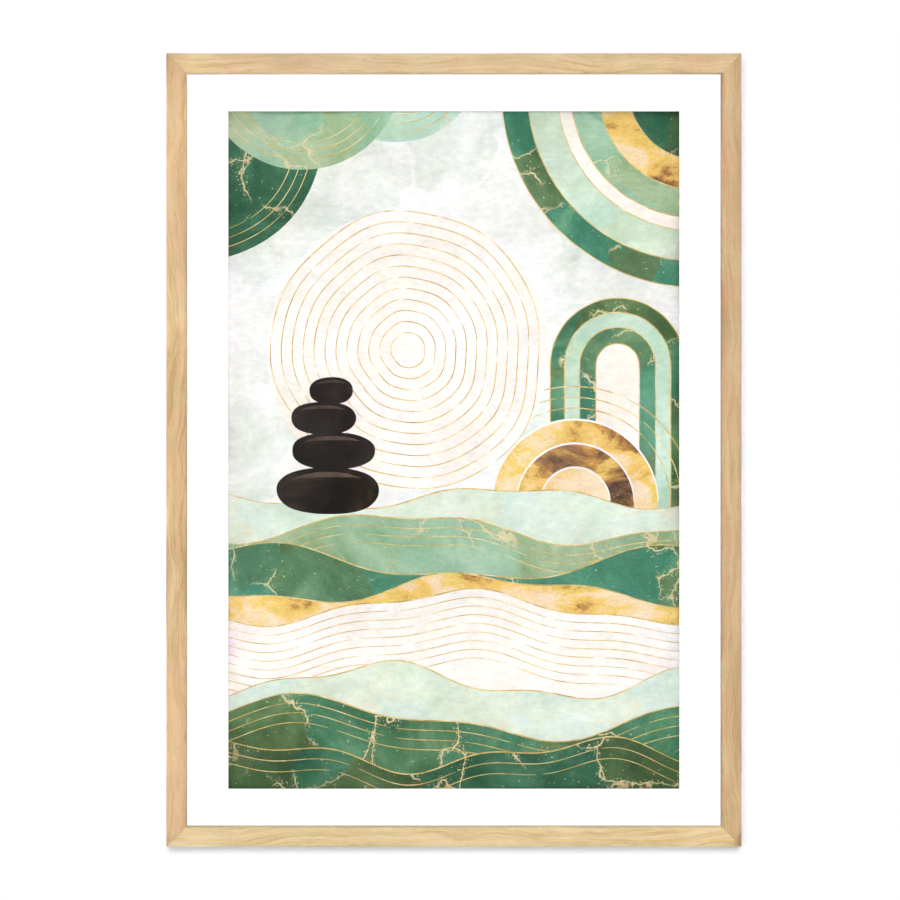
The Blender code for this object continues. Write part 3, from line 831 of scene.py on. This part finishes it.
CELLS = 15.0  # to the metre, in the watercolour
RICH_VEINS = 0.8  # the inks with more gold than this are the grainy ones
GRAINY = 0.13  # lighter and darker grains, as a share of the colour
SMOOTH = 0.05
GOLD_DUST = linear(236, 217, 166)
GOLD_LINE = linear(222, 188, 98)
GOLD_LINE_DARK = linear(190, 146, 62)
GOLD_LINE_LIGHT = linear(243, 222, 170)


def ink(name, palette, seed, veins=0.0):
    """Printed watercolour: cells of a cool and a warm tone, fine grains, and gold veins between cells."""
    r = Recipe(name)
    here = r.moved(r.position(), shift=(seed * 0.37, 0.0, seed * 0.61))
    blotches = r.noise(here, 16.0, detail=6.0, roughness=0.64, distortion=0.7)
    cool, warm = (
        r.ramp(blotches, [(0.34, linear(*dark)), (0.5, linear(*middle)), (0.66, linear(*light))])
        for dark, middle, light in palette
    )
    wandering = r.warped(here, 24.0, 0.055, detail=3.0)
    cell = r.spread(r.cell_value(wandering, CELLS), 0.42, 0.58)
    colour = r.mix(cell, cool, warm)
    strokes = r.noise(r.moved(here, scale=(110.0, 110.0, 260.0)), 1.0, detail=5.0, roughness=0.72)
    colour = r.shade(colour, r.spread(strokes, 0.3, 0.7, 0.90, 1.08))
    grains = r.noise(here, 620.0, detail=3.0, roughness=0.7)
    depth = GRAINY if veins > RICH_VEINS else SMOOTH
    colour = r.shade(colour, r.spread(grains, 0.3, 0.7, 1 - depth, 1 + depth))
    roughness = 0.78
    if veins:
        cracks = r.cracks(wandering, CELLS)
        beads = r.noise(here, 430.0, detail=3.0, roughness=0.75)
        line = r.maths("MULTIPLY", r.spread(cracks, 0.006, 0.014, 1.0, 0.0), r.spread(beads, 0.34, 0.44))
        near = r.spread(cracks, 0.02, 0.09, 1.0, 0.0)
        dust = r.spread(r.maths("MULTIPLY", near, r.spread(beads, 0.55, 0.63)), 0.3, 0.5)
        shown = r.spread(r.noise(here, 19.0, detail=2.0), 0.47, 0.53)
        flecks = r.maths("MULTIPLY", r.maths("MAXIMUM", line, dust), r.maths("MULTIPLY", shown, veins))
        specks = r.maths("MULTIPLY", r.spread(r.noise(here, 330.0, detail=2.0), 0.70, 0.74), 0.7 * veins)
        flecks = r.maths("MAXIMUM", flecks, specks)
        colour = r.mix(flecks, colour, GOLD_DUST)
        roughness = r.spread(flecks, 0.0, 1.0, 0.78, 0.5)
    r.bump(r.noise(here, 1500.0, detail=2.0), 0.00003, 0.4)
    return r.finish(colour, roughness, specular=0.12)


def foil(name, stops, seed):
    """Printed gold foil: gold, peach and bronze patches with clear borders, all finely creased."""
    r = Recipe(name)
    here = r.moved(r.position(), scale=(1.0, 1.0, 1.7), shift=(seed * 0.53, 0.0, seed * 0.29))
    folded = r.warped(here, 26.0, 0.03, detail=5.0)
    patches = r.noise(folded, 15.0, detail=9.0, roughness=0.62, distortion=0.4)
    colour = r.ramp(patches, [(place, linear(*tone)) for place, tone in stops])
    fine = r.moved(here, scale=(330.0, 330.0, 520.0))
    creases = r.noise(fine, 1.0, detail=6.0, roughness=0.78, distortion=0.8)
    # painted shade and highlight: lighter and darker with the creases
    colour = r.shade(colour, r.spread(creases, 0.32, 0.68, 0.80, 1.16))
    # painted glints where the creases stand highest
    painted_glints = r.spread(creases, 0.58, 0.70, 0.0, 0.55)
    colour = r.mix(painted_glints, colour, FOIL_PAINTED_GLINT)
    r.bump(creases, 0.00008, 0.5)
    return r.finish(colour, r.spread(creases, 0.3, 0.7, 0.38, 0.55), specular=0.4)


def gold_line(name, seed):
    """Thin printed gold, brighter and darker along its length."""
    r = Recipe(name)
    here = r.moved(r.position(), shift=(seed * 0.41, 0.0, 0.0))
    tone = r.noise(here, 60.0, detail=5.0, roughness=0.7)
    colour = r.ramp(tone, [(0.36, GOLD_LINE_DARK), (0.5, GOLD_LINE), (0.64, GOLD_LINE_LIGHT)])
    return r.finish(colour, 0.45, specular=0.6)


# A cool and a warm tone for each colour, each as screen values from dark to light
WASH = (
    ((215, 223, 212), (236, 239, 231), (249, 250, 246)),
    ((233, 235, 228), (247, 247, 243), (254, 254, 252)),
)
PALE = (
    ((204, 223, 206), (220, 235, 220), (235, 244, 234)),
    ((208, 223, 199), (223, 234, 213), (237, 243, 229)),
)
MINT = (
    ((172, 207, 182), (194, 222, 201), (214, 234, 217)),
    ((182, 206, 171), (201, 219, 189), (219, 232, 207)),
)
SAGE = (
    ((124, 167, 134), (148, 188, 155), (177, 208, 178)),
    ((136, 164, 121), (158, 184, 143), (184, 204, 167)),
)
EMERALD = (
    ((56, 118, 90), (76, 140, 110), (106, 166, 134)),
    ((72, 103, 68), (92, 125, 84), (116, 149, 106)),
)
GREEN = (
    ((52, 105, 73), (72, 128, 93), (101, 154, 117)),
    ((68, 97, 58), (86, 119, 74), (111, 143, 96)),
)
DEEP = (
    ((40, 85, 60), (56, 105, 76), (80, 131, 100)),
    ((54, 81, 50), (72, 101, 64), (95, 125, 84)),
)
CREAM = (
    ((246, 236, 225), (251, 243, 234), (254, 250, 244)),
    ((249, 240, 228), (253, 246, 237), (255, 251, 246)),
)
BLUSH = (
    ((243, 224, 207), (249, 234, 221), (252, 243, 234)),
    ((248, 231, 213), (252, 240, 226), (254, 246, 236)),
)
STONE = (
    ((18, 12, 10), (38, 30, 27), (60, 50, 46)),
    ((10, 6, 3), (36, 26, 13), (70, 53, 29)),
)
SHINE = (
    ((60, 48, 39), (77, 63, 53), (95, 80, 68)),
    ((64, 52, 43), (83, 68, 58), (101, 86, 74)),
)
# the colour of the foil's painted glints
FOIL_PAINTED_GLINT = linear(255, 240, 198)

# Foil as (place in the patches' noise, screen values)
FOIL = (
    (0.34, (104, 62, 28)),
    (0.385, (158, 104, 40)),
    (0.42, (206, 148, 54)),
    (0.45, (236, 190, 82)),
    (0.52, (244, 206, 100)),
    (0.55, (246, 214, 148)),
    (0.62, (248, 224, 184)),
)
PALE_FOIL = (
    (0.36, (206, 152, 68)),
    (0.42, (236, 192, 96)),
    (0.47, (245, 212, 140)),
    (0.54, (247, 221, 178)),
    (0.64, (250, 232, 204)),
)
DARK_FOIL = (
    (0.36, (66, 38, 22)),
    (0.42, (112, 70, 30)),
    (0.47, (164, 110, 42)),
    (0.52, (208, 152, 58)),
    (0.56, (238, 194, 84)),
    (0.64, (246, 214, 140)),
)

INKS = {  # palette, share of gold veins
    "wash": (WASH, 0.0),
    "moon": (CREAM, 0.0),
    "cloud_deep": (DEEP, 0.9),
    "cloud_sage": (SAGE, 0.7),
    "cloud_mint": (MINT, 0.5),
    "corner_deep": (EMERALD, 0.9),
    "corner_mint": (MINT, 0.5),
    "corner_cream": (CREAM, 0.0),
    "corner_sage": (SAGE, 0.7),
    "corner_green": (DEEP, 0.9),
    "arch_deep": (GREEN, 0.8),
    "arch_mint": (MINT, 0.4),
    "arch_green": (EMERALD, 0.8),
    "arch_cream": (BLUSH, 0.0),
    "dome_rims": (CREAM, 0.0),
    "hill_far": (PALE, 0.4),
    "hill_sage": (SAGE, 0.7),
    "hill_emerald": (EMERALD, 0.9),
    "hill_blush": (CREAM, 0.0),
    "hill_mint": (PALE, 0.5),
    "hill_green": (GREEN, 0.9),
    "hill_forest": (DEEP, 0.9),
    "pebbles": (STONE, 0.0),
    "pebble_shine": (SHINE, 0.0),
}
FOILS = {  # the colours that are foil. All others are gold lines.
    "corner_foil": FOIL,
    "dome_outer": FOIL,
    "dome_middle": DARK_FOIL,
    "dome_core": PALE_FOIL,
    "hill_foil": FOIL,
}


def ink_for(name, seed):
    """The material of one colour of the picture."""
    if name in INKS:
        palette, veins = INKS[name]
        return ink("ink_" + name, palette, seed, veins)
    if name in FOILS:
        return foil("ink_" + name, FOILS[name], seed)
    return gold_line("ink_" + name, seed)


def add_picture():
    """The printed sheet, as one piece for each colour."""
    corners, regions = cut_up(picture_shapes())
    pieces = []
    for seed, name in enumerate(sorted(regions)):
        pieces.append(add_ink(name, corners, regions[name], ink_for(name, seed + 1)))
    return pieces


# ---------------------------------------------------------------- camera, light and stage


def add_camera():
    data = bpy.data.cameras.new("camera")
    data.lens = LENS
    data.sensor_width = SENSOR
    camera = bpy.data.objects.new("camera", data)
    bpy.context.scene.collection.objects.link(camera)
    camera.location = (-CAMERA_LEFT, FRONT_Y - FIELD_WIDTH * LENS / SENSOR, MIDDLE.z)
    camera.rotation_euler = (math.pi / 2, 0.0, 0.0)
    bpy.context.scene.camera = camera


def add_light(name, kind, aim_from, aim_at):
    data = bpy.data.lights.new(name, kind)
    lamp = bpy.data.objects.new(name, data)
    bpy.context.scene.collection.objects.link(lamp)
    lamp.location = aim_from
    lamp.rotation_euler = (Vector(aim_at) - Vector(aim_from)).to_track_quat("-Z", "Y").to_euler()
    return lamp


def add_sun(name, side, rise, strength, spread):
    """Even light from one of the directions above."""
    away = Vector((-math.tan(math.radians(side)), -1.0, math.tan(math.radians(rise))))
    lamp = add_light(name, "SUN", MIDDLE + away, MIDDLE)
    lamp.data.energy = strength * math.pi / math.cos(away.angle(Vector((0, -1, 0))))
    lamp.data.angle = math.radians(spread)
    return lamp


def light_only(lamp, objects):
    """The lamp lights these objects and no others."""
    group = bpy.data.collections.new("lit_by_" + lamp.name)
    for item in objects:
        group.objects.link(item)
    lamp.light_linking.receiver_collection = group


def add_lights(mat, inks, rest_of_frame, stage):
    """Even light from the front, and more for each part of the scene.

    The mat has a second front light. The rest of the frame has light from the upper left and a low fill
    from the lower right. The stage has lights that throw the frame's shadow to the right and downwards, and
    the picture has light from three sides. Two more lights are for the frame's back.
    """
    suns = [
        ("front_light", FRONT_LIGHT, [mat, *inks, *rest_of_frame]),
        ("mat_light", MAT_LIGHT, [mat]),
        ("wood_light", WOOD_LIGHT, rest_of_frame),
        ("wood_fill", WOOD_FILL, rest_of_frame),
    ]
    for side, light in WALL_LIGHTS.items():
        suns.append(("wall_light_" + side, light, stage))
    for side, light in PICTURE_LIGHTS.items():
        suns.append(("picture_light_" + side, light, inks))
    for name, light, lit in suns:
        lamp = add_sun(name, *light)
        lamp.visible_glossy = name != "front_light"  # it would shine straight back from the glazing
        light_only(lamp, lit)
    for name, side in (("back_light_left", -1), ("back_light_right", 1)):
        place = MIDDLE + BACK_LIGHT_PLACE * Vector((side, 1.0, 1.0))
        lamp = add_light(name, "AREA", place, MIDDLE)
        lamp.data.size = BACK_LIGHT_SIZE
        lamp.data.energy = BACK_LIGHT * math.pi**2 * (place - MIDDLE).length_squared
    add_world()


def add_world():
    """White to look at, and weaker as a light."""
    world = bpy.data.worlds.new("studio")
    bpy.context.scene.world = world
    world.use_nodes = True
    nodes, links = world.node_tree.nodes, world.node_tree.links
    background = nodes["Background"]
    background.inputs["Color"].default_value = (1.0, 1.0, 1.0, 1.0)
    ray = nodes.new("ShaderNodeLightPath")
    brightness = nodes.new("ShaderNodeMapRange")
    links.new(ray.outputs["Is Camera Ray"], brightness.inputs["Value"])
    brightness.inputs["To Min"].default_value = AMBIENT_LIGHT
    brightness.inputs["To Max"].default_value = 1.0
    links.new(brightness.outputs["Result"], background.inputs["Strength"])


def plain_sheet(name, corners, material):
    mesh = bpy.data.meshes.new(name)
    mesh.from_pydata(corners, [], [tuple(range(len(corners)))])
    mesh.materials.append(material)
    item = bpy.data.objects.new(name, mesh)
    bpy.context.scene.collection.objects.link(item)
    return item


def wall_paint():
    """White paint, seen through from the room behind it so that the frame's back can be looked at."""
    r = Recipe("wall_paint")
    r.finish((0.97, 0.97, 0.97), 0.9, specular=0.0)
    clear = r.nodes.new("ShaderNodeBsdfTransparent")
    side = r.nodes.new("ShaderNodeNewGeometry")
    chosen = r.nodes.new("ShaderNodeMixShader")
    r.links.new(side.outputs["Backfacing"], chosen.inputs[0])
    r.links.new(r.shader.outputs[0], chosen.inputs[1])
    r.links.new(clear.outputs[0], chosen.inputs[2])
    r.links.new(chosen.outputs[0], r.nodes["Material Output"].inputs["Surface"])
    return r.material


def floor_paint():
    r = Recipe("floor_paint")
    return r.finish((0.86, 0.86, 0.85), 0.8, specular=0.1)


def add_stage():
    """A wall that the frame hangs on, and a floor. Neither throws a shadow, and no light bounces off the
    floor, so that the wall is evenly white."""
    w, top, low = WALL_HALF_WIDTH, WALL_TOP, FLOOR_Z
    wall = plain_sheet("wall", [(-w, 0, low), (w, 0, low), (w, 0, top), (-w, 0, top)], wall_paint())
    wall.visible_shadow = False
    floor = plain_sheet("floor", [(-w, -w, low), (w, -w, low), (w, w, low), (-w, w, low)], floor_paint())
    floor.visible_diffuse = False
    floor.visible_shadow = False
    return [wall, floor]


# ---------------------------------------------------------------- the scene

bpy.context.scene.view_settings.view_transform = "Standard"
add_camera()
paint_frame()
lit_apart = ("glazing", "mat", "print_sheet")
rest_of_frame = [node for name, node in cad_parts.items() if name not in lit_apart]
dried_glue = glue("mitre_glue")
for height, end in (("bottom", -1), ("top", 1)):
    for hand, side in (("left", -1), ("right", 1)):
        rest_of_frame.append(add_glue_line(f"glue_line_{height}_{hand}", side, end, dried_glue))
inks = add_picture()
stage = add_stage()
add_lights(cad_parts["mat"], inks, rest_of_frame, stage)
